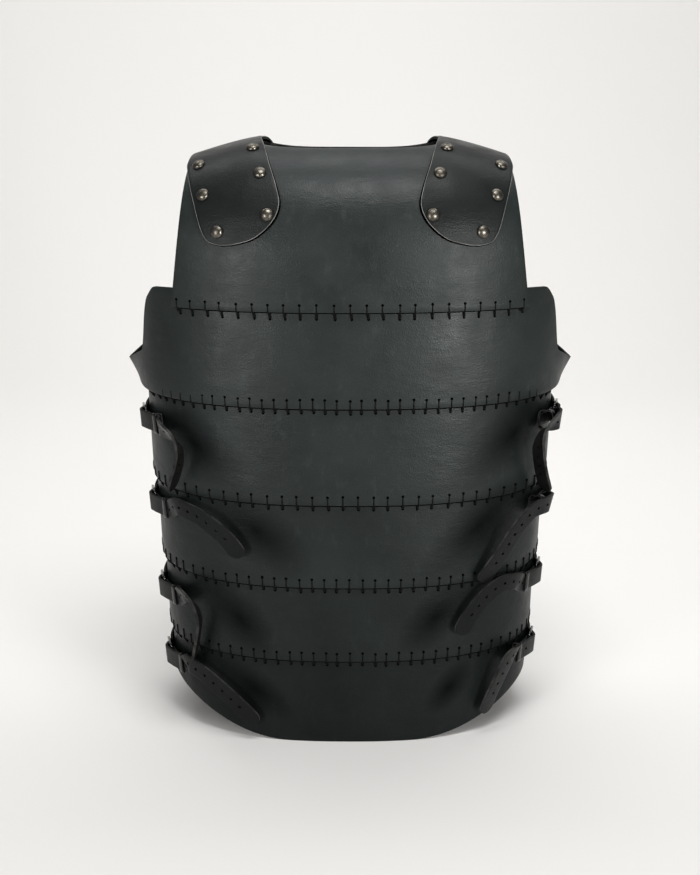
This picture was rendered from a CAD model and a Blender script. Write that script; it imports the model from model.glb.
# %% [markdown]
# This lesson dresses a leather cuirass: a front and a back plate, each a yoke over five
# overlapping bands of thick black leather, laced with coarse cord, with a riveted patch on
# each shoulder and four buckled straps down each side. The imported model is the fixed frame.
# Each leather piece is made as a saddler makes it: cut flat, then bent round the torso.

import math

import bpy
import numpy as np
from mathutils import Matrix, Vector


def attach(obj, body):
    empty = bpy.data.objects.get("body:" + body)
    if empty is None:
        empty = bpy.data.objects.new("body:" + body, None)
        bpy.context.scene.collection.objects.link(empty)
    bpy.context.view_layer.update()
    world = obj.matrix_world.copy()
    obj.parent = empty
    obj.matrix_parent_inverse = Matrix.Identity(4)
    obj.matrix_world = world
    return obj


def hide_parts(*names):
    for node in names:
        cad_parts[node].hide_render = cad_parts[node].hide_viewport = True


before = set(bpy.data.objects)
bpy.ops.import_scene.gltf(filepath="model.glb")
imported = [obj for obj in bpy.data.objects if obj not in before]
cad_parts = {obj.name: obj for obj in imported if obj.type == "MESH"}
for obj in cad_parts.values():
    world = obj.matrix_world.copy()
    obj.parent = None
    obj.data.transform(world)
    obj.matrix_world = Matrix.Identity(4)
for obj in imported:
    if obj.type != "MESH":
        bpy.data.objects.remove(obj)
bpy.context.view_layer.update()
mm = 0.001
print("frame nodes:", len(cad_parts))

# %% [markdown]
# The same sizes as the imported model's, in metres. The torso's outline is a rounded oval at
# every height, so three short tables say how it widens, where each band ends, and how the
# armhole cuts down into the top band.

# %% Sizes of the torso and the leather
CHEST_HALF_WIDTH = 216 * mm
CHEST_HALF_DEPTH = 125 * mm
SECTION_ROUNDNESS = 2.4
CHEST_HEIGHT = 452 * mm
SHOULDER_HEIGHT = 601 * mm
SHOULDER_FALL = 17 * mm
DOME_START = 24 * mm
LEATHER = 3 * mm
GAP = 0.3 * mm
LAYER = LEATHER + GAP
TUCK = 20 * mm
SIDE_GAP = 3 * mm
SIDE_RISE = 18 * mm
FOOT_HALF_WIDTH = 62 * mm
FOOT_CORNER_LIFT = 47 * mm
YOKE_HALF_WIDTH = 170.5 * mm
YOKE_TAPER = 15 * mm
YOKE_ROUNDNESS = 3
YOKE_EASE = 0.5 * mm
YOKE_OUT = LAYER + YOKE_EASE
NECK_HALF_WIDTH = 93 * mm
NECK_HALF_DEPTH = 53 * mm
BACK_NECK_HALF_DEPTH = 75 * mm
NECK_SQUARENESS = 3.5
NECK_SHARE = NECK_HALF_WIDTH / (YOKE_HALF_WIDTH - YOKE_TAPER)
ARMHOLE_REACH = 52 * mm
BACK_ARMHOLE_REACH = 76 * mm
ARMHOLE_DROP = 74 * mm
ARMHOLE_FLARE = 10 * mm
SIDE_FLARE = 6 * mm

# The torso at rising heights: shares of the chest's height, half width and half depth
TORSO = {
    "height": [0.0, 0.2, 0.38, 0.57, 0.79, 1.0],
    "width": [0.838, 0.875, 0.903, 0.935, 0.97, 1.0],
    "depth": [0.93, 0.94, 0.955, 0.975, 1.0, 1.0],
}
# The seams from the chest down: share of the chest's height, and of the rise at the side
SEAMS = [(1.0, 0.0), (0.788, 0.45), (0.568, 1.0), (0.374, 1.0), (0.197, 1.0), (0.0, 0.0)]
# The armhole's edge from the side plane: shares of its reach and of its drop
ARMHOLE = {
    "aside": [0.0, 0.42, 0.8, 1.0, 1.3],
    "drop": [1.05, 0.97, 0.9, 0.2, 0.0],
}
# The shoulder patch at rising turns: its middle and half width, shares of the yoke's width
PATCH = {
    "turn": [0.118, 0.128, 0.14, 0.162, 0.193, 0.234, 0.288, 0.33, 0.435, 0.576, 0.728, 1.0],
    "middle": [0.705, 0.695, 0.684, 0.674, 0.663, 0.653, 0.652, 0.658, 0.689, 0.73, 0.762, 0.79],
    "half": [0.03, 0.095, 0.13, 0.16, 0.189, 0.216, 0.236, 0.243, 0.243, 0.237, 0.232, 0.205],
}
print("chest girth, m:", round(2 * math.pi * (CHEST_HALF_WIDTH + CHEST_HALF_DEPTH) / 2, 3))

# %% [markdown]
# Bending needs the torso's outline measured by the distance round it, not by an angle, so
# that a strap or a band keeps its length. The outline is measured once at many heights and
# read back for thousands of points at a time.


# %% The torso's outline
def unit(vectors):
    return vectors / np.linalg.norm(vectors, axis=-1, keepdims=True)


def smooth_look_up(share, key, value, table, reach=0.06):
    """A table read as the mean of five places, so that its corners come out rounded."""
    places = [share + step * reach for step in (-1, -0.5, 0, 0.5, 1)]
    return sum(np.interp(place, table[key], table[value]) for place in places) / len(places)


def half_outline(height, shares):
    """x and y from the chest's middle (share 0) to the side plane (share 1), and its length."""
    share = min(height / CHEST_HEIGHT, 1.0)
    half_width = CHEST_HALF_WIDTH * smooth_look_up(share, "height", "width", TORSO)
    half_depth = CHEST_HALF_DEPTH * smooth_look_up(share, "height", "depth", TORSO)
    angle = np.linspace(0, math.pi / 2, 1201)
    x = half_width * np.sin(angle) ** (2 / SECTION_ROUNDNESS)
    y = -half_depth * np.maximum(np.cos(angle), 0) ** (2 / SECTION_ROUNDNESS)
    steps = np.hypot(np.diff(x), np.diff(y))
    length = np.concatenate([[0], np.cumsum(steps)])
    at = shares * length[-1]
    return np.interp(at, length, x), np.interp(at, length, y), length[-1]


HEIGHTS = np.linspace(-0.02, CHEST_HEIGHT * 1.1, 64)
SHARES = np.linspace(0, 1, 241)
OUTLINES = [half_outline(max(height, 0), SHARES) for height in HEIGHTS]
OUTLINE_X, OUTLINE_Y, GIRTHS = (np.array(part) for part in zip(*OUTLINES))


def half_girth(height):
    return np.interp(height, HEIGHTS, GIRTHS)


def outline_at(share, height):
    """Share 0 is the chest's middle, 1 and -1 the side planes, 2 the middle of the back."""
    side = np.where(share < 0, -1.0, 1.0)
    far = np.abs(share)
    back = far > 1
    near = np.where(back, 2 - far, far)
    row = np.clip((height - HEIGHTS[0]) / (HEIGHTS[1] - HEIGHTS[0]), 0, len(HEIGHTS) - 1.001)
    column = np.clip(near * (len(SHARES) - 1), 0, len(SHARES) - 1.001)
    r, c = row.astype(int), column.astype(int)
    dr, dc = row - r, column - c

    def read(table):
        low = table[r, c] * (1 - dc) + table[r, c + 1] * dc
        high = table[r + 1, c] * (1 - dc) + table[r + 1, c + 1] * dc
        return low * (1 - dr) + high * dr

    return side * read(OUTLINE_X), np.where(back, -1.0, 1.0) * read(OUTLINE_Y)


def torso_points(share, height, out):
    """Points that stand off the torso by a length, square to its outline."""
    share, height, out = np.broadcast_arrays(share, height, out)
    share = share.astype(float)
    step = 0.012
    x, y = outline_at(share, height)
    ahead_x, ahead_y = outline_at(share + step, height)
    behind_x, behind_y = outline_at(share - step, height)
    across = np.stack([ahead_x - behind_x, ahead_y - behind_y])
    across /= np.maximum(np.linalg.norm(across, axis=0), 1e-9)
    return np.stack([x + across[1] * out, y - across[0] * out, height], axis=-1)


print("half girth at the chest and the foot, m:", half_girth(CHEST_HEIGHT), half_girth(0.0))

# %% [markdown]
# The yoke rises over the shoulders as a quarter dome on each side of the ridge. A place on
# it is a share of its half width and a turn: 0 at the dome's foot, 1 on the ridge, and -1
# at the lower edge of the straight skirt that laps over the top band.


# %% The yoke's form
def yoke_form(across, turn):
    angle = np.maximum(turn, 0) * (math.pi / 2)
    bow = 2 / YOKE_ROUNDNESS
    foot = CHEST_HEIGHT + DOME_START
    past = np.maximum(0, np.abs(across) - NECK_SHARE) / (1 - NECK_SHARE)
    ridge = SHOULDER_HEIGHT - SHOULDER_FALL * past**1.25
    skirt = DOME_START * np.minimum(turn, 0)
    height = foot + skirt + (ridge - foot) * np.sin(angle) ** bow
    narrow = YOKE_TAPER * (height - foot) / (SHOULDER_HEIGHT - foot)
    x = across * (YOKE_HALF_WIDTH - narrow)
    share = np.abs(x) / CHEST_HALF_WIDTH
    depth = CHEST_HALF_DEPTH * (1 - share**SECTION_ROUNDNESS) ** (1 / SECTION_ROUNDNESS)
    ahead = np.sign(np.cos(angle)) * np.abs(np.cos(angle)) ** bow
    return np.stack([x, -depth * ahead, height], axis=-1)


def yoke_normals(across, turn):
    step = 0.01
    wide = yoke_form(across + step, turn) - yoke_form(across - step, turn)
    level = np.maximum(turn, step)
    high = yoke_form(across, level + step) - yoke_form(across, level - step)
    normal = np.cross(wide, high)
    normal[..., 2] = np.where(turn <= 0, 0, normal[..., 2])
    return unit(normal)


def yoke_points(across, turn, out):
    across, turn, out = np.broadcast_arrays(across, turn, out)
    return yoke_form(across, turn) + yoke_normals(across, turn) * out[..., None]


def yoke_top(across, neck_depth):
    """The turn at which the neck's opening or the ridge ends the leather."""
    depth = -yoke_form(across, np.zeros_like(across))[..., 1]
    ratio = np.minimum(np.abs(across) / NECK_SHARE, 1)
    cut = neck_depth * (1 - ratio**NECK_SQUARENESS) ** (1 / NECK_SQUARENESS)
    ahead = np.clip(np.maximum(cut, GAP) / depth, 0, 1)
    return np.arccos(ahead ** (YOKE_ROUNDNESS / 2)) / (math.pi / 2)


neck_turn = yoke_top(np.array(0.0), NECK_HALF_DEPTH)
print("front of the neck stands at, m:", yoke_points(0.0, neck_turn, 0.0).round(3))

# %% [markdown]
# Small tools that every piece uses. One of Blender's basic shapes is added and named, its
# points are read as one table, moved by a formula and written back, and a copy for another
# place gets a mesh of its own.


# %% Tools for meshes
def only(obj):
    bpy.ops.object.select_all(action="DESELECT")
    bpy.context.view_layer.objects.active = obj
    obj.select_set(True)


def link(obj):
    bpy.context.scene.collection.objects.link(obj)


def new_shape(name, add, **sizes):
    """One of Blender's basic shapes, under a name of its own."""
    bpy.ops.object.select_all(action="DESELECT")
    add(**sizes)
    obj = bpy.context.object
    obj.name = obj.data.name = name
    return obj


def new_grid(name, columns, rows):
    add = bpy.ops.mesh.primitive_grid_add
    return new_shape(name, add, x_subdivisions=columns, y_subdivisions=rows, size=1)


def points_of(obj):
    flat = np.empty(len(obj.data.vertices) * 3)
    obj.data.vertices.foreach_get("co", flat)
    return flat.reshape(-1, 3)


def put_points(obj, points):
    obj.data.vertices.foreach_set("co", np.ascontiguousarray(points, dtype=float).ravel())
    obj.data.update()


def coat(obj, material):
    obj.data.materials.append(material)
    bpy.ops.object.shade_smooth()
    return obj


def copy_of(obj, name, move):
    copy = obj.copy()
    copy.data = obj.data.copy()
    copy.name = copy.data.name = name
    link(copy)
    copy.data.transform(move)
    return copy


def faces(obj):
    return len(obj.data.polygons)


HALF_TURN = Matrix.Rotation(math.pi, 4, "Z")
print("a piece for the back is turned by", round(math.degrees(HALF_TURN.to_euler().z)), "degrees")

# %% [markdown]
# Materials are built from a few kinds of nodes, again and again: noise on the object's own
# coordinates, a value spread over a new range, two colours blended, and a bump. A Look
# holds one material and makes these nodes in it.


# %% Tools for materials
# the mix node's colour sockets, by number because their names stand for other sockets too
MIX_FIRST, MIX_SECOND, MIX_RESULT = 6, 7, 2


class Look:
    def __init__(self, name, textured=True):
        self.material = bpy.data.materials.new(name)
        self.material.use_nodes = True
        self.tree = self.material.node_tree
        self.shader = self.tree.nodes["Principled BSDF"]
        if textured:
            self.coords = self.add("ShaderNodeTexCoord", {}).outputs["Object"]

    def wire(self, node, inputs):
        """Sets each input to a value, or joins it to another node's output."""
        for key, value in inputs.items():
            socket = node.inputs[key]
            if isinstance(value, bpy.types.NodeSocket):
                self.tree.links.new(value, socket)
            else:
                socket.default_value = (*value, 1) if socket.type == "RGBA" else value

    def add(self, kind, inputs):
        node = self.tree.nodes.new(kind)
        self.wire(node, inputs)
        return node

    def noise(self, scale, detail, roughness=0.55, stretch=None):
        coords = self.coords
        if stretch:
            stretched = self.add("ShaderNodeMapping", {"Vector": coords, "Scale": stretch})
            coords = stretched.outputs["Vector"]
        inputs = {"Vector": coords, "Scale": scale, "Detail": detail, "Roughness": roughness}
        return self.add("ShaderNodeTexNoise", inputs).outputs["Fac"]

    def spread(self, value, low, high, to_low=0.0, to_high=1.0):
        inputs = {"Value": value, "From Min": low, "From Max": high}
        inputs.update({"To Min": to_low, "To Max": to_high})
        return self.add("ShaderNodeMapRange", inputs).outputs["Result"]

    def blend(self, factor, first, second):
        node = self.tree.nodes.new("ShaderNodeMix")
        node.data_type = "RGBA"
        self.wire(node, {"Factor": factor, MIX_FIRST: first, MIX_SECOND: second})
        return node.outputs[MIX_RESULT]

    def bump(self, height, distance, strength, below=None):
        inputs = {"Height": height, "Distance": distance, "Strength": strength}
        if below is not None:
            inputs["Normal"] = below
        return self.add("ShaderNodeBump", inputs).outputs["Normal"]

    def finish(self, inputs):
        """Sets the shader's own inputs and hands over the material."""
        self.wire(self.shader, inputs)
        return self.material


hole_dark = Look("hole_dark", textured=False).finish(
    {"Base Color": (0.001, 0.001, 0.001), "Roughness": 0.95, "Specular IOR Level": 0.0})
print("the plainest look, the dark of a hole:", hole_dark.name)

# %% [markdown]
# The camera stands a little over a metre and a half in front of the chest, at the height of
# the shoulders, and looks slightly down, as the photograph was taken. The floor is a plain
# pale sweep that curves up behind the object: a grid whose far rows are lifted.

# %% Camera, floor and light
CAMERA_PLACE = (0.0, -1.625, 0.700)
CAMERA_DIP = math.radians(13.976)
SWEEP_SIZE = 9.0
SWEEP_START = 1.6
SWEEP_RADIUS = 1.2
# each light's place, the place it points at, width and height, power, and spread in degrees
LIGHTS = {
    "left_softbox": ((-1.3, -1.9, 0.55), (0, 0, 0.55), (0.5, 0.7), 1.9, 50),
    "right_softbox": ((1.2, -1.9, 0.55), (0, 0, 0.55), (0.5, 0.7), 2.8, 50),
    "top_softbox": ((0.2, -0.9, 2.3), (0, 0, 0.2), (1.2, 0.9), 30, 170),
    "backdrop_light": ((0, 0.9, 2.3), (0, 1.9, 0), (3.2, 1.2), 41, 170),
}

camera_data = bpy.data.cameras.new("camera")
camera_data.lens = 64.35
camera_data.sensor_width = 36
camera = bpy.data.objects.new("camera", camera_data)
camera.location = CAMERA_PLACE
camera.rotation_euler = (math.pi / 2 - CAMERA_DIP, 0, 0)
link(camera)
bpy.context.scene.camera = camera


def make_sweep(paper):
    sweep = new_grid("floor_sweep", 8, 72)
    points = points_of(sweep) * SWEEP_SIZE
    along = points[:, 1] - SWEEP_START
    angle = np.clip(along / SWEEP_RADIUS, 0, math.pi / 2)
    past = np.maximum(along - SWEEP_RADIUS * math.pi / 2, 0)
    points[:, 1] = np.where(along > 0, SWEEP_START + SWEEP_RADIUS * np.sin(angle), points[:, 1])
    points[:, 2] = SWEEP_RADIUS * (1 - np.cos(angle)) + past
    put_points(sweep, points)
    return coat(sweep, paper)


paper = Look("pale_paper", textured=False).finish(
    {"Base Color": (0.86, 0.845, 0.825), "Roughness": 0.9})
sweep = make_sweep(paper)

world = bpy.data.worlds.new("soft_room")
world.use_nodes = True
world.node_tree.nodes["Background"].inputs["Color"].default_value = (0.95, 0.95, 0.93, 1)
world.node_tree.nodes["Background"].inputs["Strength"].default_value = 0.16
bpy.context.scene.world = world
bpy.context.scene.view_settings.view_transform = "Standard"

for name, (place, target, size, power, spread) in LIGHTS.items():
    data = bpy.data.lights.new(name, "AREA")
    data.shape = "RECTANGLE"
    data.size, data.size_y = size
    data.energy = power
    data.spread = math.radians(spread)
    light = bpy.data.objects.new(name, data)
    light.location = place
    light.rotation_euler = (Vector(target) - Vector(place)).to_track_quat("-Z", "Y").to_euler()
    link(light)
print("camera dips", round(math.degrees(CAMERA_DIP), 1), "degrees; lights:", len(LIGHTS))

# %% [markdown]
# Finishes. Thick veg-tanned leather dyed black is not one flat colour: it has a fine pebble
# grain, pores and creases, soft clouds of tone, and faint scuffs that catch the light. The
# leather beside each loose tail is rubbed dark and dull, in soft ovals. All of it is
# procedural, on Object coordinates.

# %% Leather finishes
# the dark, dull marks beside the loose tails: centre, half lengths and tilt in degrees
RUBBED_BLACK = (0.0012, 0.0013, 0.0013)
RUB_STRENGTH = 0.9
RUBS = [
    ((-0.157, -0.096, 0.314), (0.072, 0.085, 0.034), 40),
    ((-0.094, -0.118, 0.227), (0.072, 0.085, 0.034), 40),
    ((-0.113, -0.113, 0.131), (0.05, 0.085, 0.026), 48),
    ((-0.099, -0.117, 0.055), (0.05, 0.085, 0.021), 36),
    ((0.165, -0.091, 0.322), (0.082, 0.085, 0.034), -36),
    ((0.131, -0.107, 0.229), (0.08, 0.085, 0.032), -42),
    ((0.088, -0.119, 0.135), (0.05, 0.085, 0.026), -45),
    ((0.103, -0.116, 0.055), (0.036, 0.085, 0.018), -50),
]


def soft_oval(look, place, size, tilt):
    """Strongest in the middle of a soft oval, tilted about the Y axis, and 0 outside it."""
    local = look.tree.nodes.new("ShaderNodeMapping")
    local.vector_type = "TEXTURE"
    turn = (0, math.radians(tilt), 0)
    look.wire(local, {"Vector": look.coords, "Location": place, "Rotation": turn, "Scale": size})
    oval = look.tree.nodes.new("ShaderNodeTexGradient")
    oval.gradient_type = "SPHERICAL"
    look.wire(oval, {"Vector": local.outputs["Vector"]})
    return look.spread(oval.outputs["Fac"], 0.0, 1.0, 0.0, RUB_STRENGTH)


def rubbed_marks(look):
    """All the marks in one value: at each place the strongest of them."""
    rubbed = soft_oval(look, *RUBS[0])
    for rub in RUBS[1:]:
        larger = look.tree.nodes.new("ShaderNodeMath")
        larger.operation = "MAXIMUM"
        look.wire(larger, {0: rubbed, 1: soft_oval(look, *rub)})
        rubbed = larger.outputs[0]
    return rubbed


def grain_leather(name, dark, light, rough, scuffs, shine, rubbed=False):
    look = Look(name)
    tone = look.blend(look.spread(look.noise(11, 4), 0.35, 0.68), dark, light)
    fibres = look.noise(1.6, 8, 0.7, stretch=(60, 60, 26))
    scuff_color = tuple(min(1, channel * 2.6 + 0.012) for channel in light)
    color = look.blend(look.spread(fibres, 0.56, 0.78, 0, scuffs), tone, scuff_color)
    if rubbed:
        marks = rubbed_marks(look)
        color = look.blend(marks, color, RUBBED_BLACK)
        shine = look.spread(marks, 0, 1, shine, shine * 0.08)
    cells = look.add("ShaderNodeTexVoronoi", {"Vector": look.coords, "Scale": 720})
    creases = look.bump(look.noise(1.0, 6, 0.65, stretch=(22, 22, 55)), 2.2 * mm, 0.35)
    pebble = look.bump(cells.outputs["Distance"], 0.28 * mm, 0.42, creases)
    pores = look.bump(look.noise(1500, 2), 0.12 * mm, 0.35, pebble)
    patchy = look.spread(look.noise(36, 5), 0.3, 0.7, rough - 0.08, rough + 0.08)
    return look.finish(
        {"Base Color": color, "Roughness": patchy, "Specular IOR Level": shine, "Normal": pores})


def raw_leather(name, dark, light, fibre_scale):
    look = Look(name)
    tone = look.blend(look.spread(look.noise(70, 4), 0.38, 0.66), dark, light)
    fuzz = look.bump(look.noise(fibre_scale, 6, 0.7), 0.3 * mm, 0.6)
    return look.finish(
        {"Base Color": tone, "Normal": fuzz, "Roughness": 0.85, "Specular IOR Level": 0.12})


print("marks rubbed into the leather:", len(RUBS))

# %% [markdown]
# The leathers themselves, each a dark and a light tone. Every lower band took the dye a
# little darker. The cut edges and the flesh side have no grain, and the patches' rims are
# burnished light.

# %% Leathers
# each band took the dye differently: how light and how shiny it came out, from the top down
BAND_DYE = [1.0, 0.94, 0.82, 0.66, 0.52]
DYE_DARK = (0.0085, 0.0117, 0.0111)
DYE_LIGHT = (0.0145, 0.0195, 0.0186)


def dyed_leather(name, share):
    dark = tuple(share * channel for channel in DYE_DARK)
    light = tuple(share * channel for channel in DYE_LIGHT)
    return grain_leather(name, dark, light, 0.43, 0.3 * share, 0.24 * share, rubbed=True)


yoke_leather = dyed_leather("yoke_leather", 1.0)
band_leathers = [dyed_leather(f"band_leather_{n}", share) for n, share in enumerate(BAND_DYE, 1)]
patch_leather = grain_leather(
    "patch_leather", (0.0047, 0.0058, 0.0057), (0.0082, 0.01, 0.0098), 0.42, 0.12, 0.17)
strap_leather = grain_leather(
    "strap_leather", (0.0032, 0.0038, 0.0038), (0.0062, 0.0072, 0.0072), 0.4, 0.08, 0.13)
keeper_leather = grain_leather(
    "keeper_leather", (0.0016, 0.0018, 0.0018), (0.0034, 0.0037, 0.0037), 0.2, 0.03, 0.34)
flesh_side = raw_leather("flesh_side", (0.0026, 0.0026, 0.0026), (0.0075, 0.0073, 0.0071), 420)
cut_edge = raw_leather("cut_edge", (0.009, 0.0092, 0.0091), (0.045, 0.045, 0.043), 620)
burnished_edge = raw_leather("burnished_edge", (0.13, 0.13, 0.122), (0.24, 0.24, 0.225), 620)
print("leathers:", yoke_leather.name, len(band_leathers), patch_leather.name, strap_leather.name)

# %% [markdown]
# The hard parts have two finishes: the buckles are glossy black enamel over steel, worn a
# little at the edges, and the rivets are domed nickel, gone warm and grey with age. The
# lacing is a coarse black waxed cord whose twist shows as slanted ridges.


# %% Metal and cord finishes
def enamel():
    look = Look("black_enamel")
    streaks = look.noise(260, 4)
    return look.finish({
        "Base Color": (0.006, 0.006, 0.0065), "Coat Weight": 1.0, "Coat Roughness": 0.05,
        "Roughness": look.spread(streaks, 0.3, 0.7, 0.14, 0.3),
        "Normal": look.bump(streaks, 0.15 * mm, 0.15),
    })


def aged_nickel():
    look = Look("aged_nickel")
    spots = look.spread(look.noise(190, 6, 0.65), 0.4, 0.68)
    return look.finish({
        "Base Color": look.blend(spots, (0.17, 0.155, 0.13), (0.05, 0.045, 0.038)),
        "Roughness": look.spread(spots, 0, 1, 0.26, 0.5), "Metallic": 1.0,
        "Normal": look.bump(spots, 0.1 * mm, 0.25),
    })


def waxed_cord():
    look = Look("waxed_cord")
    wave = look.add("ShaderNodeTexWave", {"Vector": look.coords, "Scale": 210, "Distortion": 1.5})
    wave.wave_type = "BANDS"
    wave.bands_direction = "DIAGONAL"
    strands = wave.outputs["Fac"]
    twist = look.bump(strands, 0.5 * mm, 0.6)
    return look.finish({
        "Base Color": look.blend(strands, (0.0012, 0.0012, 0.0012), (0.004, 0.004, 0.004)),
        "Normal": look.bump(look.noise(900, 4), 0.2 * mm, 0.5, twist),
        "Roughness": 0.7, "Specular IOR Level": 0.1,
    })


black_enamel = enamel()
rivet_metal = aged_nickel()
cord_finish = waxed_cord()
print("hard finishes:", black_enamel.name, rivet_metal.name, cord_finish.name)

# %% [markdown]
# Every leather piece is finished the same way once its outer face is bent: Solidify gives
# it the wall, with the flesh side and the cut edge as materials of their own, and Bevel
# rounds the cut edges as a saddler's edge tool does. Dressing a piece then says which body
# it rides on, which slot it fills and which solid of the frame it stands for.

# %% From a bent face to a leather wall
LEATHER_ROUNDING = 0.7 * mm


def apply_modifiers(obj):
    only(obj)
    for modifier in list(obj.modifiers):
        bpy.ops.object.modifier_apply(modifier=modifier.name)


def give_wall(obj, thickness, rounding, grain):
    for material in (grain, flesh_side, cut_edge):
        obj.data.materials.append(material)
    wall = obj.modifiers.new("wall", "SOLIDIFY")
    wall.thickness = thickness
    wall.offset = -1
    wall.material_offset = 1
    wall.material_offset_rim = 2
    rim = obj.modifiers.new("rim", "BEVEL")
    rim.width = rounding
    rim.segments = 2
    rim.limit_method = "ANGLE"
    rim.angle_limit = math.radians(55)
    apply_modifiers(obj)
    bpy.ops.object.shade_smooth_by_angle(angle=math.radians(50))


def dress(piece, slot_name, *nodes):
    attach(piece, "root")
    if nodes:
        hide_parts(*nodes)


def dress_both(piece, slot_name):
    """Dresses a front piece and the same piece turned to the back."""
    dress(piece, slot_name)
    dress(copy_of(piece, piece.name.replace("front", "back"), HALF_TURN), slot_name)


print("a wall has a grain face, and beside it", flesh_side.name, "and", cut_edge.name)

# %% [markdown]
# Hand-cut leather never lies as true as its pattern. A slow, shallow swell, two waves on
# top of each other, moves each face in and out by up to a quarter of a millimetre.

# %% Slow swells in the leather
SWELL_LONG = 0.35 * mm
SWELL_SHORT = 0.16 * mm


def swell(place, seed):
    x, y, z = place[:, 0], place[:, 1], place[:, 2]
    first = np.sin(23 * x + 9 * z + seed) * np.sin(31 * z - 7 * x + 2.1 * seed)
    second = np.sin(51 * x - 17 * y + 3.3 * seed) * np.sin(63 * z + 1.7 * seed)
    return SWELL_LONG * first + SWELL_SHORT * second


print("the two waves of a swell, mm:", SWELL_LONG / mm, SWELL_SHORT / mm)

# %% [markdown]
# The bands. Each is a long strip, cut a little curved, that lies against the torso at its
# top, under the band above, and stands off by one leather's thickness at its foot, over the
# band below. The top band is cut away for the arm and flares out to a pointed corner there.


# %% Bands
BAND_COLUMNS = 84
BAND_ROWS = 22
HIGHEST_SWELL = 0.3 * mm
# each plate's armhole reach, the depth of its neck's cut, and where its swells start
PLATES = {
    "front": (ARMHOLE_REACH, NECK_HALF_DEPTH, 0),
    "back": (BACK_ARMHOLE_REACH, BACK_NECK_HALF_DEPTH, 9),
}


def seam_height(index, share):
    height, rise = SEAMS[index]
    girth_share = 1 - np.sqrt(np.maximum(0, 1 - np.abs(share) ** 3))
    return CHEST_HEIGHT * height + SIDE_RISE * rise * girth_share


def foot_height(share):
    x = np.abs(outline_at(share, np.zeros_like(share))[0])
    half_width = CHEST_HALF_WIDTH * TORSO["width"][0]
    past = np.maximum(0, x - FOOT_HALF_WIDTH) / (half_width - FOOT_HALF_WIDTH)
    return FOOT_CORNER_LIFT * past**2


def tuck_at(share):
    return TUCK * (1 - 0.5 * np.abs(share) ** 4)


def band_edges(index, share):
    share = np.asarray(share, dtype=float)
    last = index + 2 == len(SEAMS)
    bottom = foot_height(share) if last else seam_height(index + 1, share)
    return bottom, seam_height(index, share) + tuck_at(share)


def band_out(index, share, height):
    """How far a band's inner face stands off the torso: nothing on top, a layer at its foot."""
    bottom, top = band_edges(index, share)
    high = top - tuck_at(share) - GAP
    low = bottom + tuck_at(share)
    return LAYER * np.clip((high - height) / (high - low), 0, 1)


def armhole_edge(share, armhole_reach):
    aside = (1 - np.abs(share)) * half_girth(CHEST_HEIGHT) / armhole_reach
    return aside, smooth_look_up(aside, "aside", "drop", ARMHOLE)


def band_top(index, share, armhole_reach):
    top = band_edges(index, share)[1]
    if index == 0:
        top = top - ARMHOLE_DROP * armhole_edge(share, armhole_reach)[1]
    return top


def even_columns(index, armhole_reach):
    """Column places, crowded where the upper edge is steep so that it stays smooth."""
    share = np.linspace(0, 1, 2001)
    top = band_top(index, share, armhole_reach)
    width = half_girth(CHEST_HEIGHT)
    length = np.concatenate([[0], np.cumsum(np.hypot(np.diff(share) * width, np.diff(top)))])
    return np.interp(np.linspace(0, length[-1], BAND_COLUMNS + 1), length, share)


def make_band(name, index, armhole_reach, seed):
    band = new_grid(name, BAND_COLUMNS * 2, BAND_ROWS)
    points = points_of(band)
    column = np.rint(np.abs(points[:, 0]) * 2 * BAND_COLUMNS).astype(int)
    share = np.sign(points[:, 0]) * even_columns(index, armhole_reach)[column]
    bottom, _ = band_edges(index, share)
    top = band_top(index, share, armhole_reach)
    lift = points[:, 1] + 0.5
    height = bottom + (top - bottom) * lift
    out = band_out(index, share, height) + LEATHER
    if index == 0:
        aside, _ = armhole_edge(share, armhole_reach)
        out += SIDE_FLARE * np.abs(share) ** 6
        out += ARMHOLE_FLARE * lift * np.maximum(0, 1 - aside) ** 2
    share = share * (1 - SIDE_GAP / half_girth(height))
    wave = swell(torso_points(share, height, out), seed)
    put_points(band, torso_points(share, height, out + np.minimum(wave, HIGHEST_SWELL) * 0.5))
    give_wall(band, LEATHER, LEATHER_ROUNDING, band_leathers[index])
    return band


for number in range(1, len(SEAMS)):
    for plate, (armhole_reach, _, seed) in PLATES.items():
        band = make_band(f"leather_{plate}_lame_{number}", number - 1, armhole_reach, number + seed)
        if plate == "back":
            band.data.transform(HALF_TURN)
        dress(band, "leather", f"{plate}_lame_{number}")
    print("band", number, "faces", faces(band))

# %% [markdown]
# The yoke is one piece of leather from the top band up over the shoulders. Its columns crowd
# towards the neck's corner, where the edge turns sharply up to the ridge.


# %% Yokes
YOKE_COLUMNS = 64
YOKE_ROWS = 44
SKIRT_ROWS = 5
YOKE_SWELL_SEED = 7.3


def yoke_columns(count):
    inner = round(count * 0.6)
    place = np.arange(count + 1)
    crowded = NECK_SHARE * np.sin(np.minimum(place / inner, 1) * math.pi / 2)
    even = NECK_SHARE + (1 - NECK_SHARE) * (place - inner) / (count - inner)
    return np.where(place <= inner, crowded, even)


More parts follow.
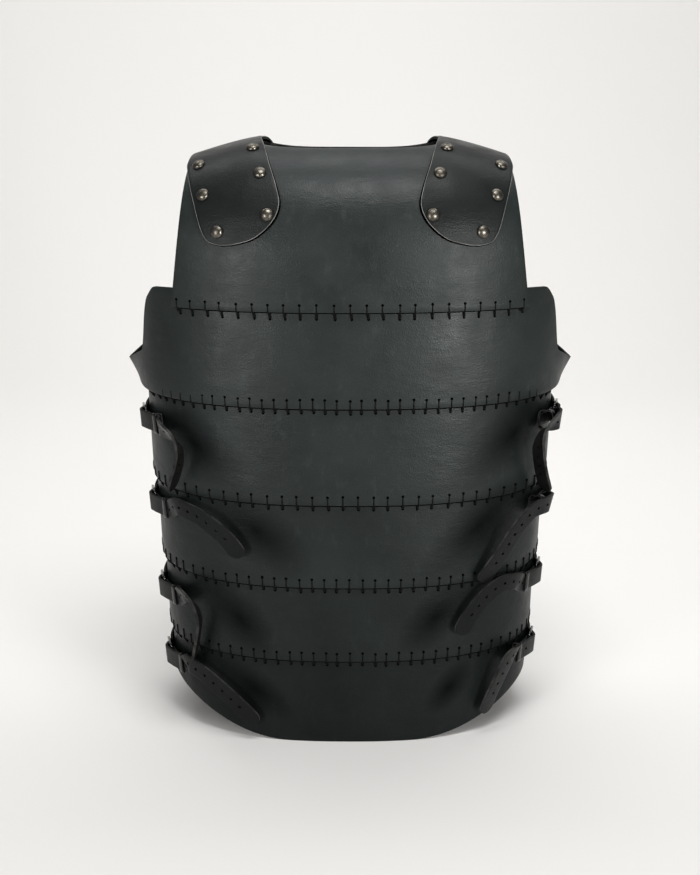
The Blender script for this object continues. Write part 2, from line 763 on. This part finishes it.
def make_yoke(name, neck_depth):
    yoke = new_grid(name, YOKE_COLUMNS * 2, YOKE_ROWS)
    points = points_of(yoke)
    column = np.rint(np.abs(points[:, 0]) * 2 * YOKE_COLUMNS).astype(int)
    across = np.sign(points[:, 0]) * yoke_columns(YOKE_COLUMNS)[column]
    row = np.rint((points[:, 1] + 0.5) * YOKE_ROWS)
    skirt = -1 + row / SKIRT_ROWS
    dome = yoke_top(across, neck_depth) * (row - SKIRT_ROWS) / (YOKE_ROWS - SKIRT_ROWS)
    turn = np.where(row < SKIRT_ROWS, skirt, dome)
    wave = swell(yoke_points(across, turn, YOKE_OUT + LEATHER), YOKE_SWELL_SEED)
    shift = np.clip(wave, -0.4 * mm, 0.2 * mm) * 0.6
    put_points(yoke, yoke_points(across, turn, YOKE_OUT + LEATHER + shift))
    give_wall(yoke, LEATHER, LEATHER_ROUNDING, yoke_leather)
    return yoke


for plate, (_, neck_depth, _) in PLATES.items():
    yoke = make_yoke(f"leather_{plate}_yoke", neck_depth)
    if plate == "back":
        yoke.data.transform(HALF_TURN)
    dress(yoke, "leather", f"{plate}_yoke")
print("yoke faces", faces(yoke))

# %% [markdown]
# Some parts are best made as rods: a prong, a cord, the bead of an edge. Lists of points
# become a curve with a round section, and the curve is turned into a mesh.


# %% Rods along lines
ROD_SIDES = 8
FINE_ROD_SIDES = 12


def rod(name, splines, radius, material, sides=ROD_SIDES, tapered=None):
    """Round rods along lists of points, turned into one mesh."""
    curve = bpy.data.curves.new(name, "CURVE")
    curve.dimensions = "3D"
    curve.bevel_depth = radius
    curve.bevel_resolution = sides // 4 - 1
    curve.use_fill_caps = True
    for line in splines:
        spline = curve.splines.new("POLY")
        spline.points.add(len(line) - 1)
        for i, place in enumerate(line):
            spline.points[i].co = (*place, 1)
            spline.points[i].radius = 1 if tapered is None else tapered[i]
    obj = bpy.data.objects.new(name, curve)
    link(obj)
    only(obj)
    bpy.ops.object.convert(target="MESH")
    obj = bpy.context.object
    obj.data.name = name
    return coat(obj, material)


print("a rod has", ROD_SIDES, "sides, or", FINE_ROD_SIDES, "where it is thick or dark")

# %% [markdown]
# A shoulder patch is a strap of the same leather with two round ends that runs from the
# front over the ridge to the back and holds the two yokes together with domed rivets. Its
# cut rim is burnished light, and the gap under it is drawn by a dark line.


# %% Shoulder patches
SIDES = ((-1, "left"), (1, "right"))
PATCH_COLUMNS = 26
PATCH_ROWS = 96
PATCH_CLEARANCE = 1.35 * mm
PATCH_OUT = YOKE_OUT + LEATHER + PATCH_CLEARANCE
PATCH_TOP = PATCH_OUT + LEATHER
PATCH_TIP = PATCH["turn"][0]


def patch_read(quarter, value):
    """The table read with a little smoothing, less so near the round end's tip."""
    reach = 0.5 * np.minimum(quarter - PATCH_TIP, 0.05)
    return smooth_look_up(quarter, "turn", value, PATCH, reach)


def patch_across(side, across, turn):
    quarter = np.where(turn > 1, 2 - turn, turn)
    return side * (patch_read(quarter, "middle") + patch_read(quarter, "half") * across)


def patch_turn(share):
    """The turn at a share of the way from a round end's tip to the ridge, slow at the tip."""
    return PATCH_TIP + (1 - PATCH_TIP) * (1 - np.cos(share * (math.pi / 2)))


def make_patch(name, side):
    patch = new_grid(name, PATCH_COLUMNS, PATCH_ROWS)
    points = points_of(patch)
    half = PATCH_ROWS / 2
    row = np.abs(np.rint((points[:, 1] + 0.5) * PATCH_ROWS) - half)
    quarter = patch_turn((half - row) / half)
    turn = np.where(points[:, 1] > 0, 2 - quarter, quarter)
    across = patch_across(side, points[:, 0] * 2 * side, turn)
    put_points(patch, yoke_points(across, turn, PATCH_TOP))
    give_wall(patch, LEATHER, 0.8 * mm, patch_leather)
    return patch


def patch_outline(side, out, beyond):
    """A closed line round a patch, moved out from its rim by a length."""
    quarter = patch_turn(np.linspace(0, 1, 60))
    up = np.concatenate([quarter, 2 - quarter[-2::-1]])
    turn = np.concatenate([up, up[::-1]])
    edge = np.concatenate([np.ones(len(up)), -np.ones(len(up))])
    across = patch_across(side, edge, turn)
    line = yoke_points(across, turn, out)
    along = np.roll(line, -1, axis=0) - np.roll(line, 1, axis=0)
    line = line + side * unit(np.cross(along, yoke_normals(across, turn))) * beyond
    return np.vstack([line, line[:1]])


for side, word in SIDES:
    patch = make_patch(f"leather_shoulder_patch_{word}", side)
    dress(patch, "patch", f"shoulder_patch_{word}")
    rim = patch_outline(side, PATCH_TOP - 0.45 * mm, 0)
    dress(rod(f"rim_patch_{word}", [rim], 0.5 * mm, burnished_edge), "patch")
    gap = patch_outline(side, YOKE_OUT + LEATHER + 0.3 * mm, 0.8 * mm)
    dress(rod(f"gap_patch_{word}", [gap], 0.9 * mm, hole_dark), "patch")
    print("patch", word, "faces", faces(patch))

# %% [markdown]
# A rivet is a domed cap on a shank. One is modelled from a sphere: its lower part is cut
# off with a bisect, the dome is pressed a little flatter and raised to leave a thin collar,
# and copies are stood on the patches, six in front and six behind.


# %% Rivets
RIVET_RADIUS = 6.5 * mm
RIVET_HEIGHT = 4.0 * mm
RIVET_CUT = 0.4 * mm
RIVET_COLLAR = 0.5 * mm
RIVETS = [(0.7, 0.68), (-0.7, 0.75), (-0.7, 0.505), (0.74, 0.4), (-0.78, 0.253), (0.51, 0.178)]


def model_rivet():
    add = bpy.ops.mesh.primitive_uv_sphere_add
    rivet = new_shape("rivet_pattern", add, segments=28, ring_count=20, radius=RIVET_RADIUS)
    bpy.ops.object.mode_set(mode="EDIT")
    bpy.ops.mesh.select_all(action="SELECT")
    plane = {"plane_co": (0, 0, RIVET_CUT), "plane_no": (0, 0, 1)}
    bpy.ops.mesh.bisect(clear_inner=True, use_fill=True, **plane)
    bpy.ops.object.mode_set(mode="OBJECT")
    points = points_of(rivet)
    high = points[:, 2] >= RIVET_COLLAR
    points[high, 2] = points[high, 2] * RIVET_HEIGHT / RIVET_RADIUS + RIVET_COLLAR
    put_points(rivet, points)
    coat(rivet, rivet_metal)
    bpy.ops.object.shade_smooth_by_angle(angle=math.radians(40))
    return rivet


def stand(foot, normal):
    turn = Vector((0, 0, 1)).rotation_difference(Vector(normal)).to_matrix().to_4x4()
    return Matrix.Translation(Vector(foot)) @ turn


rivet_pattern = model_rivet()
for side, word in SIDES:
    for number, (across, turn) in enumerate(RIVETS, 1):
        place = patch_across(side, np.array(across), np.array(turn))
        foot = yoke_points(place, np.array(turn), PATCH_TOP + 0.1 * mm)
        normal = yoke_normals(place, np.array(turn))
        front = copy_of(rivet_pattern, f"dome_front_{word}_{number}", stand(foot, normal))
        dress(front, "rivet", f"rivet_{word}_{number}")
        behind = stand(foot * [1, -1, 1], normal * [1, -1, 1])
        back = copy_of(rivet_pattern, f"dome_back_{word}_{number}", behind)
        dress(back, "rivet")
bpy.data.objects.remove(rivet_pattern)
print("rivets:", 4 * len(RIVETS))

# %% [markdown]
# The straps. Each starts on the back plate, passes under the far bar of its buckle, over
# the heel bar and, on most, through a keeper, and ends in a free tail that droops under its
# own weight. It is cut flat, its holes are punched flat, and only then is it bent along its
# path. The path is a short list of places past the keeper, the same as the frame's.

# %% Sizes and paths of the straps
STRAP_WIDTH = 18 * mm
STRAP_THICKNESS = 2.5 * mm
STRAP_TAIL = 100 * mm
STRAP_STAND = 20 * mm
BAR_SIZE = 2.6 * mm
BUCKLE_THROW = 20 * mm
BUCKLE_SEAT = 30 * mm
CHAPE_THICKNESS = 1.5 * mm
CHAPE_WIDTH = 13 * mm
KEEPER_DISTANCE = 28 * mm
KEEPER_WALL = 1.2 * mm
KEEPER_WIDTH = 5 * mm
EMPTY_KEEPER_HEIGHT = 19 * mm
STRAP_ANCHOR = 70 * mm
STRAP_DRAPE = 0.3 * mm

# side, buckle height as a share of the chest's, held by the keeper, and the tail's places:
# on and drop as shares of the tail's reach, out of its stand, twist of a quarter turn
STRAPS = {
    "left_1": (-1, 0.726, True, [
        (0.14, 0.0, 0.7, 0.1), (0.36, 0.04, 1.1, 0.5), (0.44, 0.14, 1.3, 0.8),
        (0.42, 0.3, 1.3, 0.9), (0.34, 0.47, 1.15, 0.9), (0.26, 0.62, 1.0, 0.85)]),
    "left_2": (-1, 0.527, True, [
        (0.23, -0.08, 0.6, 0.0), (0.47, -0.04, 0.75, 0.0), (0.62, 0.04, 0.8, 0.0),
        (0.76, 0.19, 0.65, 0.0), (0.86, 0.37, 0.5, 0.0)]),
    "left_3": (-1, 0.317, True, [
        (0.2, -0.08, 0.75, 0.1), (0.31, -0.08, 0.95, 0.5), (0.38, 0.0, 1.0, 0.7),
        (0.4, 0.15, 0.95, 0.75), (0.33, 0.38, 0.8, 0.75), (0.24, 0.62, 0.65, 0.7)]),
    "left_4": (-1, 0.148, True, [
        (0.14, -0.06, 0.55, 0.0), (0.35, 0.0, 0.65, 0.0), (0.52, 0.12, 0.65, 0.0),
        (0.7, 0.3, 0.55, 0.0), (0.84, 0.48, 0.42, 0.0)]),
    "right_1": (1, 0.735, False, [
        (0.02, -0.02, 1.25, 0.0), (0.18, 0.04, 1.2, 0.6), (0.2, 0.24, 1.05, 0.9),
        (0.11, 0.5, 0.95, 0.9), (-0.02, 0.74, 0.85, 0.85)]),
    "right_2": (1, 0.536, False, [
        (0.0, -0.04, 1.2, 0.05), (0.2, -0.02, 1.2, 0.1), (0.34, 0.14, 1.1, 0.1),
        (0.45, 0.4, 0.85, 0.1), (0.6, 0.71, 0.5, 0.1)]),
    "right_3": (1, 0.35, True, [
        (0.2, -0.07, 0.6, 0.0), (0.39, -0.09, 0.7, 0.0), (0.54, 0.01, 0.65, 0.0),
        (0.69, 0.22, 0.55, 0.0), (0.76, 0.42, 0.45, 0.0)]),
    "right_4": (1, 0.175, True, [
        (0.12, -0.03, 0.6, 0.05), (0.22, -0.03, 0.75, 0.15), (0.3, 0.14, 0.75, 0.2),
        (0.36, 0.35, 0.6, 0.2), (0.41, 0.56, 0.45, 0.2)]),
}

HEEL_BAR = BUCKLE_SEAT + BUCKLE_THROW / 2
FAR_BAR = BUCKLE_SEAT - BUCKLE_THROW / 2
KEEPER_PLACE = HEEL_BAR + KEEPER_DISTANCE
LEG_LOW = GAP + KEEPER_WALL + GAP + CHAPE_THICKNESS / 2
LEG_HIGH = LEG_LOW + CHAPE_THICKNESS + GAP
LOOP_RADIUS = BAR_SIZE / 2 * math.sqrt(2) + GAP + CHAPE_THICKNESS / 2
LYING_OUT = GAP + STRAP_DRAPE + STRAP_THICKNESS / 2
BUCKLE_OUT = LYING_OUT + STRAP_THICKNESS / 2 + 2 * GAP + BAR_SIZE / 2
HELD_OUT = LEG_HIGH + CHAPE_THICKNESS / 2 + GAP + STRAP_THICKNESS / 2
OVER_LOOP = BUCKLE_OUT + LOOP_RADIUS + CHAPE_THICKNESS / 2 + GAP + STRAP_THICKNESS / 2
print("straps:", len(STRAPS), "buckles stand out, mm:", round(BUCKLE_OUT / mm, 1))

# %% [markdown]
# A strap is easiest to build flat: x runs along it from the back plate to the front, y
# across it and z out of the leather. One function then bends anything built in that frame
# round the side of the torso, and two more lay a flat strip along a path through the air,
# turned on its edge where the real tail hangs twisted.


# %% Bending a strap's own flat frame round the side
PATH_STEPS_PER_KNOT = 24


def side_base(level):
    """How far out the outer leather lies at the side at a height."""
    height = level - STRAP_WIDTH / 2 - BAR_SIZE
    index = next(i for i in range(len(SEAMS)) if seam_height(i, 1.0) < height) - 1
    return float(band_out(index, np.array(1.0), height)) + LEATHER


def bend_on_side(obj, strap):
    side, share_height = STRAPS[strap][:2]
    level = CHEST_HEIGHT * share_height
    points = points_of(obj)
    height = level + points[:, 1]
    share = side * (1 - points[:, 0] / half_girth(height))
    put_points(obj, torso_points(share, height, side_base(level) + points[:, 2]))
    if side > 0:
        obj.data.flip_normals()
    return obj


def smooth_path(knots, samples):
    """A curve through the knots, evenly stepped, with the share of each knot along it."""
    knots = np.asarray(knots, dtype=float)
    padded = np.vstack([2 * knots[0] - knots[1], knots, 2 * knots[-1] - knots[-2]])
    pieces = []
    for i in range(1, len(padded) - 2):
        p0, p1, p2, p3 = padded[i - 1 : i + 3]
        t = np.linspace(0, 1, PATH_STEPS_PER_KNOT, endpoint=False)[:, None]
        k1 = (p2 - p0) / 2 * 0.9
        k2 = (p3 - p1) / 2 * 0.9
        chord = np.linalg.norm(p2 - p1)
        k1 *= min(1, chord / max(np.linalg.norm(k1), 1e-9))
        k2 *= min(1, chord / max(np.linalg.norm(k2), 1e-9))
        h = [2 * t**3 - 3 * t**2 + 1, t**3 - 2 * t**2 + t, -2 * t**3 + 3 * t**2, t**3 - t**2]
        pieces.append(h[0] * p1 + h[1] * k1 + h[2] * p2 + h[3] * k2)
    line = np.vstack(pieces + [padded[-2:-1]])
    length = np.concatenate([[0], np.cumsum(np.linalg.norm(np.diff(line, axis=0), axis=1))])
    at = np.linspace(0, length[-1], samples)
    path = np.stack([np.interp(at, length, line[:, k]) for k in range(3)], axis=1)
    knot_places = length[np.arange(len(knots)) * PATH_STEPS_PER_KNOT]
    return path, knot_places, length[-1]


def eased(values, width):
    kernel = np.hanning(width + 2)[1:-1]
    kernel /= kernel.sum()
    padded = np.pad(values, ((width // 2, width // 2), (0, 0)), mode="edge")
    return np.stack([np.convolve(column, kernel, "valid") for column in padded.T], axis=1)


def ribbon_frames(path, twist):
    """Directions across and out of a strap at each step of its path."""
    along = unit(np.gradient(path, axis=0))
    across = np.cross([0, 0, 1.0], along)
    size = np.linalg.norm(across, axis=1, keepdims=True)
    across = np.where(size < 0.05, [0, 1.0, 0], across / np.maximum(size, 1e-9))
    face = np.cross(along, across)
    angle = twist[:, None] * math.pi / 2
    turned = unit(eased(across * np.cos(angle) + face * np.sin(angle), 9))
    return turned, unit(np.cross(along, turned))


def lay_along(obj, path, across, face, length):
    """Moves a flat strip, x along it and z out of it, onto a path."""
    points = points_of(obj)
    at = np.linspace(0, length, len(path))

    def read(table):
        return np.stack([np.interp(points[:, 0], at, column) for column in table.T], axis=1)

    put_points(obj, read(path) + read(across) * points[:, 1:2] + read(face) * points[:, 2:3])


print("anything flat can now be bent round a side; the heel bar is at mm", round(HEEL_BAR / mm))

# %% [markdown]
# Cutting a strap flat: a grid as long as the path, its end rounded, given its wall and
# rounded edges, and then punched: cylinders stand along the middle of the tail and a
# Boolean takes them out, so the holes are real.


# %% Cutting and punching
STRIP_STEP = 1.6 * mm
STRIP_ROWS = 10
HOLE_PITCH = 11 * mm
HOLE_RADIUS = 1.5 * mm
FIRST_HOLE = 24 * mm
HOLE_COUNT = 8
DRILL = {"vertices": 16, "radius": HOLE_RADIUS, "depth": 20 * mm}


def cut_strip(name, length, width, thickness, round_end=True):
    strip = new_grid(name, max(12, round(length / STRIP_STEP)), STRIP_ROWS)
    points = points_of(strip)
    x = (points[:, 0] + 0.5) * length
    y = points[:, 1] * width
    if round_end:
        radius = width / 2
        past = np.clip((x - (length - radius)) / radius, 0, 0.995)
        y = y * np.sqrt(1 - past**2)
    put_points(strip, np.stack([x, y, np.full_like(x, thickness / 2)], axis=1))
    give_wall(strip, thickness, 0.5 * mm, strap_leather)
    return strip


def punch(strip, length):
    places = [(length - FIRST_HOLE - number * HOLE_PITCH, 0, 0) for number in range(HOLE_COUNT)]
    add = bpy.ops.mesh.primitive_cylinder_add
    drills = [new_shape("drill", add, location=place, **DRILL) for place in places]
    only(drills[0])
    for drill in drills:
        drill.select_set(True)
    bpy.ops.object.join()
    drill = bpy.context.object
    only(drill)
    bpy.ops.object.transform_apply(location=True, rotation=True, scale=True)
    holes = strip.modifiers.new("holes", "BOOLEAN")
    holes.operation = "DIFFERENCE"
    holes.solver = "EXACT"
    holes.object = drill
    apply_modifiers(strip)
    bpy.data.objects.remove(drill)


print("each strap gets", HOLE_COUNT, "punched holes")

# %% [markdown]
# The eight straps. Each lies on the back plate, climbs over the buckle's heel bar and, if
# its keeper holds it, dips under that loop. From there its loose tail hangs as the photo
# shows it, so every tail has its own row of places in the table of straps.


# %% Straps
STRAP_STEPS = 240


def strap_knots(held, tail):
    body = [
        (-STRAP_ANCHOR, LYING_OUT), (-STRAP_ANCHOR * 0.6, LYING_OUT),
        (-STRAP_ANCHOR * 0.25, LYING_OUT), (0, LYING_OUT),
        (FAR_BAR - BAR_SIZE, LYING_OUT), (FAR_BAR + BAR_SIZE * 0.7, LYING_OUT),
        (HEEL_BAR - LOOP_RADIUS * 1.7, OVER_LOOP - STRAP_THICKNESS * 0.6), (HEEL_BAR, OVER_LOOP),
    ]
    if held:
        body.append((HEEL_BAR + LOOP_RADIUS * 2, OVER_LOOP - STRAP_THICKNESS * 0.4))
        body.append((KEEPER_PLACE - KEEPER_WIDTH, HELD_OUT))
        body.append((KEEPER_PLACE + KEEPER_WIDTH * 1.4, HELD_OUT))
    else:
        body.append((HEEL_BAR + LOOP_RADIUS * 3, OVER_LOOP + STRAP_THICKNESS))
    knots = [(x, 0, z, 0) for x, z in body]
    for on, drop, out, twist in tail:
        knots.append((KEEPER_PLACE + on * STRAP_TAIL, -drop * STRAP_TAIL, out * STRAP_STAND, twist))
    return np.array(knots)


for name, (_, _, held, tail) in STRAPS.items():
    knots = strap_knots(held, tail)
    path, knot_places, length = smooth_path(knots[:, :3], STRAP_STEPS)
    twist = np.interp(np.linspace(0, length, STRAP_STEPS), knot_places, knots[:, 3])
    strap = cut_strip(f"leather_strap_{name}", length, STRAP_WIDTH, STRAP_THICKNESS)
    punch(strap, length)
    lay_along(strap, path, *ribbon_frames(path, twist), length)
    only(bend_on_side(strap, name))
    bpy.ops.object.shade_smooth_by_angle(angle=math.radians(45))
    dress(strap, "strap", f"strap_{name}")
    print("strap", name, "length", round(length / mm), "mm, faces", faces(strap))

# %% [markdown]
# Behind, where the photo does not look, each strap is held to the back plate by two small
# flat rivets: a sphere, flattened and moved into the strap's flat frame, then bent with it.


# %% Rivets of the straps
STRAP_RIVET_RADIUS = 3.2 * mm
STRAP_RIVET_PLACES = (7 * mm - STRAP_ANCHOR, 22 * mm - STRAP_ANCHOR)


def model_strap_rivet(name, place):
    add = bpy.ops.mesh.primitive_uv_sphere_add
    rivet = new_shape(name, add, segments=20, ring_count=12, radius=STRAP_RIVET_RADIUS)
    points = points_of(rivet)
    points[:, 0] += place
    points[:, 2] = LYING_OUT + STRAP_THICKNESS / 2 + points[:, 2] * 0.4
    put_points(rivet, points)
    return coat(rivet, black_enamel)


for name in STRAPS:
    for number, place in enumerate(STRAP_RIVET_PLACES, 1):
        dress(bend_on_side(model_strap_rivet(f"strap_rivet_{name}_{number}", place), name), "rivet")
print("rivets of the straps:", len(STRAPS) * len(STRAP_RIVET_PLACES))

# %% [markdown]
# Under each tail a chape, a thin strip folded round the buckle's heel bar, holds the buckle
# to the front plate. Its path is a long hairpin, so it is cut and laid as the straps are.


# %% Chapes
def chape_path():
    leg_end = KEEPER_PLACE + KEEPER_WIDTH
    leg_start = HEEL_BAR + LOOP_RADIUS * 3
    knots = [(leg_end, 0, LEG_LOW), (leg_start, 0, LEG_LOW)]
    for angle in np.linspace(-0.35 * math.pi, -1.65 * math.pi, 7):
        out = BUCKLE_OUT + LOOP_RADIUS * math.sin(angle)
        knots.append((HEEL_BAR + LOOP_RADIUS * math.cos(angle), 0, out))
    knots += [(leg_start, 0, LEG_HIGH), (leg_end, 0, LEG_HIGH)]
    return smooth_path(knots, 160)


for name in STRAPS:
    path, _, length = chape_path()
    across = np.tile([0, 1.0, 0], (len(path), 1))
    face = np.cross(unit(np.gradient(path, axis=0)), across)
    sizes = (length, CHAPE_WIDTH, CHAPE_THICKNESS)
    chape = cut_strip(f"leather_chape_{name}", *sizes, round_end=False)
    lay_along(chape, path, across, face, length)
    dress(bend_on_side(chape, name), "strap", f"chape_{name}")
print("chapes:", len(STRAPS))

# %% [markdown]
# A buckle is a bent rod: a torus whose ring is drawn out to a rounded rectangle. Its prong
# is a tapered rod that turns round the heel bar, comes up through the strap and rests its
# tip on the far bar.


# %% Buckles and prongs
BUCKLE_RING = 10 * mm
BUCKLE_HALF_SIZE = (BUCKLE_THROW / 2, STRAP_WIDTH / 2 + 2 * GAP + BAR_SIZE / 2)
BUCKLE_SQUARENESS = 6
PRONG_RADIUS = BAR_SIZE * 0.42
PRONG_LOOP = BAR_SIZE * 0.85
PRONG_TAPER = [1, 1, 1, 1, 1, 1, 0.95, 0.9, 0.8, 0.5]


def rounded_box_outline(angle, half_size, squareness):
    waves = np.stack([np.cos(angle), np.sin(angle)], axis=1)
    return half_size * np.sign(waves) * np.abs(waves) ** (2 / squareness)


def outline_normals(angle, half_size, squareness):
    step = 0.01
    ahead = rounded_box_outline(angle + step, half_size, squareness)
    behind = rounded_box_outline(angle - step, half_size, squareness)
    tangent = ahead - behind
    return unit(np.stack([tangent[:, 1], -tangent[:, 0]], axis=1))


def model_buckle(name):
    rings = {"major_segments": 72, "minor_segments": 14}
    radii = {"major_radius": BUCKLE_RING, "minor_radius": BAR_SIZE * 0.55}
    buckle = new_shape(name, bpy.ops.mesh.primitive_torus_add, **rings, **radii)
    points = points_of(buckle)
    angle = np.arctan2(points[:, 1], points[:, 0])
    offset = np.hypot(points[:, 0], points[:, 1]) - BUCKLE_RING
    line = rounded_box_outline(angle, BUCKLE_HALF_SIZE, BUCKLE_SQUARENESS)
    line = line + outline_normals(angle, BUCKLE_HALF_SIZE, BUCKLE_SQUARENESS) * offset[:, None]
    x, z = line[:, 0] + BUCKLE_SEAT, points[:, 2] + BUCKLE_OUT
    put_points(buckle, np.column_stack([x, line[:, 1], z]))
    return coat(buckle, black_enamel)


def prong_line():
    """Round the heel bar, then along to the tip: places along the strap and out of it."""
    line = []
    for angle in np.linspace(-0.2 * math.pi, 0.75 * math.pi, 6):
        line.append((HEEL_BAR + PRONG_LOOP * math.cos(angle), PRONG_LOOP * math.sin(angle)))
    line.append((HEEL_BAR - BUCKLE_THROW * 0.45, BAR_SIZE * 0.95))
    line.append((FAR_BAR + BAR_SIZE, BAR_SIZE * 1.25))
    line.append((FAR_BAR - BAR_SIZE * 0.6, BAR_SIZE * 1.1))
    line.append((FAR_BAR - BAR_SIZE * 1.2, BAR_SIZE * 0.7))
    return [(x, 0, BUCKLE_OUT + out) for x, out in line]


for name in STRAPS:
    buckle = model_buckle(f"frame_buckle_{name}")
    dress(bend_on_side(buckle, name), "buckle", f"buckle_{name}")
    lines = [prong_line()]
    prong = rod(f"prong_{name}", lines, PRONG_RADIUS, black_enamel, FINE_ROD_SIDES, PRONG_TAPER)
    dress(bend_on_side(prong, name), "buckle")
print("buckles:", len(STRAPS))

# %% [markdown]
# A keeper is a short loop of thin leather. It is an open tube, five millimetres long, drawn
# out to the shape of what it holds: flat round a held tail, and sprung open into a rounder
# loop where the tail has slipped out.


# %% Keepers
def model_keeper(name, held):
    full = HELD_OUT + STRAP_THICKNESS / 2 + GAP + KEEPER_WALL
    half_height = ((full if held else EMPTY_KEEPER_HEIGHT) - GAP) / 2
    half_width = STRAP_WIDTH / 2 + GAP + KEEPER_WALL * 1.2
    tube = {"vertices": 64, "radius": 1, "depth": KEEPER_WIDTH, "end_fill_type": "NOTHING"}
    keeper = new_shape(name, bpy.ops.mesh.primitive_cylinder_add, **tube)
    points = points_of(keeper)
    angle = np.arctan2(points[:, 1], points[:, 0])
    line = rounded_box_outline(angle, (half_height, half_width), 6 if held else 3.2)
    x, z = KEEPER_PLACE - points[:, 2], line[:, 0] + GAP + half_height
    put_points(keeper, np.column_stack([x, line[:, 1], z]))
    give_wall(keeper, KEEPER_WALL, 0.35 * mm, keeper_leather)
    return keeper


for name, (_, _, held, _) in STRAPS.items():
    keeper = model_keeper(f"leather_keeper_{name}", held)
    dress(bend_on_side(keeper, name), "strap", f"keeper_{name}")
print("keepers:", len(STRAPS))

# %% [markdown]
# The lacing. Each stitch comes up out of a punched hole in the upper leather as a thin,
# taut cord, goes over its lower edge and ends as a thicker turn that dives into the band
# below. One stitch is a short list of points, flat and upright, that is bent into place
# along each seam and given a round section, so it stays at a few dozen faces.


# %% Stitches
CORD_RADIUS = 1.15 * mm
LACE_HOLE_RADIUS = 1.45 * mm
STITCH_TAPER = [0.5, 0.5, 0.5, 0.6, 1.0, 1.15, 1.1, 0.6]
LACED_SHARE = 0.985
# for each seam from the top down: the pitch, and the reach above and below the edge
LACING = [
    (15.6 * mm, 6.6 * mm, 6.4 * mm),
    (12.4 * mm, 8.2 * mm, 4.4 * mm),
    (14.8 * mm, 8.2 * mm, 4.4 * mm),
    (12.6 * mm, 8.2 * mm, 4.4 * mm),
    (12.3 * mm, 8.2 * mm, 4.4 * mm),
]


def stitch_line(above, below, step, slant):
    """From the upper hole over the edge to the lower one; step is the upper leather's top."""
    thin = step + CORD_RADIUS * 0.3
    low = CORD_RADIUS * 0.8
    return np.array([
        (0, above, step - 1.2 * mm), (0, above - 0.5 * mm, thin), (0, above * 0.5, thin + 0.1 * mm),
        (slant * 0.1, 0.7 * mm, thin), (slant * 0.3, -0.7 * mm, (thin + low) / 2 + 0.3 * mm),
        (slant * 0.5, -1.7 * mm, low + 0.3 * mm), (slant * 0.9, -below + 0.6 * mm, low),
        (slant, -below, -1.2 * mm),
    ])


def hole_line(across, up, top):
    return np.array([(across, up, top - 0.6 * mm), (across, up, top + 0.3 * mm)])


def seam_girth(index):
    return float(half_girth(CHEST_HEIGHT * SEAMS[index][0]))


def seam_reach(index):
    """How far a seam runs to each side of the middle, as a share of the half girth."""
    if index > 0:
        return LACED_SHARE
    shares = np.linspace(0, 1, 400)
    xs = outline_at(shares, np.full(400, CHEST_HEIGHT))[0]
    return float(np.interp(YOKE_HALF_WIDTH - 3 * mm, xs, shares))


def on_seam(index, share, flat):
    """Lay flat points (across, up, out) at a share of the seam on the band below it."""
    at = share + flat[:, 0] / seam_girth(index)
    height = seam_height(index, at) + flat[:, 1]
    return torso_points(at, height, band_out(index, at, height) + LEATHER + flat[:, 2])


def lace(index, pitch, above, below):
    """The cords and the holes of one seam's stitches, each a little out of line."""
    girth = seam_girth(index)
    reach = seam_reach(index)
    step = YOKE_OUT if index == 0 else LAYER
    lean, wander = (1.1 * mm, 0.7 * mm) if index == 0 else (0.3 * mm, 0.4 * mm)
    count = round(2 * reach * girth / pitch)
    rng = np.random.default_rng(11 + index)
    cords, holes = [], []
    for number in range(count + 1):
        share = -reach + 2 * reach * number / count + rng.normal(0, 0.6 * mm) / girth
        slant = rng.normal(lean, wander)
        rise = rng.normal(0, 0.4 * mm)
        cords.append(on_seam(index, share, stitch_line(above + rise, below - rise, step, slant)))
        holes.append(on_seam(index, share, hole_line(0, above + rise + 0.7 * mm, step)))
        holes.append(on_seam(index, share, hole_line(slant, -below + rise - 0.5 * mm, 0)))
    return cords, holes


for index, (pitch, above, below) in enumerate(LACING):
    cords, holes = lace(index, pitch, above, below)
    cord_name, hole_name = f"lacing_front_{index + 1}", f"lace_holes_front_{index + 1}"
    lacing = rod(cord_name, cords, CORD_RADIUS, cord_finish, tapered=STITCH_TAPER)
    dots = rod(hole_name, holes, LACE_HOLE_RADIUS, hole_dark, FINE_ROD_SIDES)
    dress_both(lacing, "strap")
    dress_both(dots, "strap")
    print("seam", index + 1, "stitches", len(cords), "faces", faces(lacing))

# %% [markdown]
# Each band's lower edge is dyed black, and the gap under it is deeper than any light
# reaches. A thin dull bead along the edge draws that line evenly round the torso. The
# yoke's seam also ends in a small knot at each side, where its cord is tied off.


# %% Edge lines and knots
EDGE_BEAD_RADIUS = 0.85 * mm
EDGE_BEAD_DROP = 0.75 * mm
EDGE_BEAD_RISE = 0.35 * mm


def edge_bead(name, index):
    reach = seam_reach(index) + 0.01
    shares = np.linspace(-reach, reach, 121)
    height = seam_height(index, shares) - EDGE_BEAD_DROP
    out = band_out(index, shares, height) + LEATHER + EDGE_BEAD_RISE
    return rod(name, [torso_points(shares, height, out)], EDGE_BEAD_RADIUS, hole_dark)


def end_knot(name, side):
    """A flat coil of a turn and a third at an end of the yoke's seam."""
    turn = np.linspace(0, 2.6 * math.pi, 15)
    across = 1.7 * mm * np.cos(turn) - side * mm
    flat = np.column_stack([across, 3.4 * mm * np.sin(turn), 1.6 * mm + 0.12 * mm * turn])
    return rod(name, [on_seam(0, side * seam_reach(0), flat)], CORD_RADIUS * 0.9, cord_finish)


for index in range(len(LACING)):
    dress_both(edge_bead(f"edge_line_front_{index + 1}", index), "strap")
for side, word in SIDES:
    dress_both(end_knot(f"knot_front_{word}", side), "strap")
print("edge lines:", 2 * len(LACING), "knots:", 2 * len(SIDES))
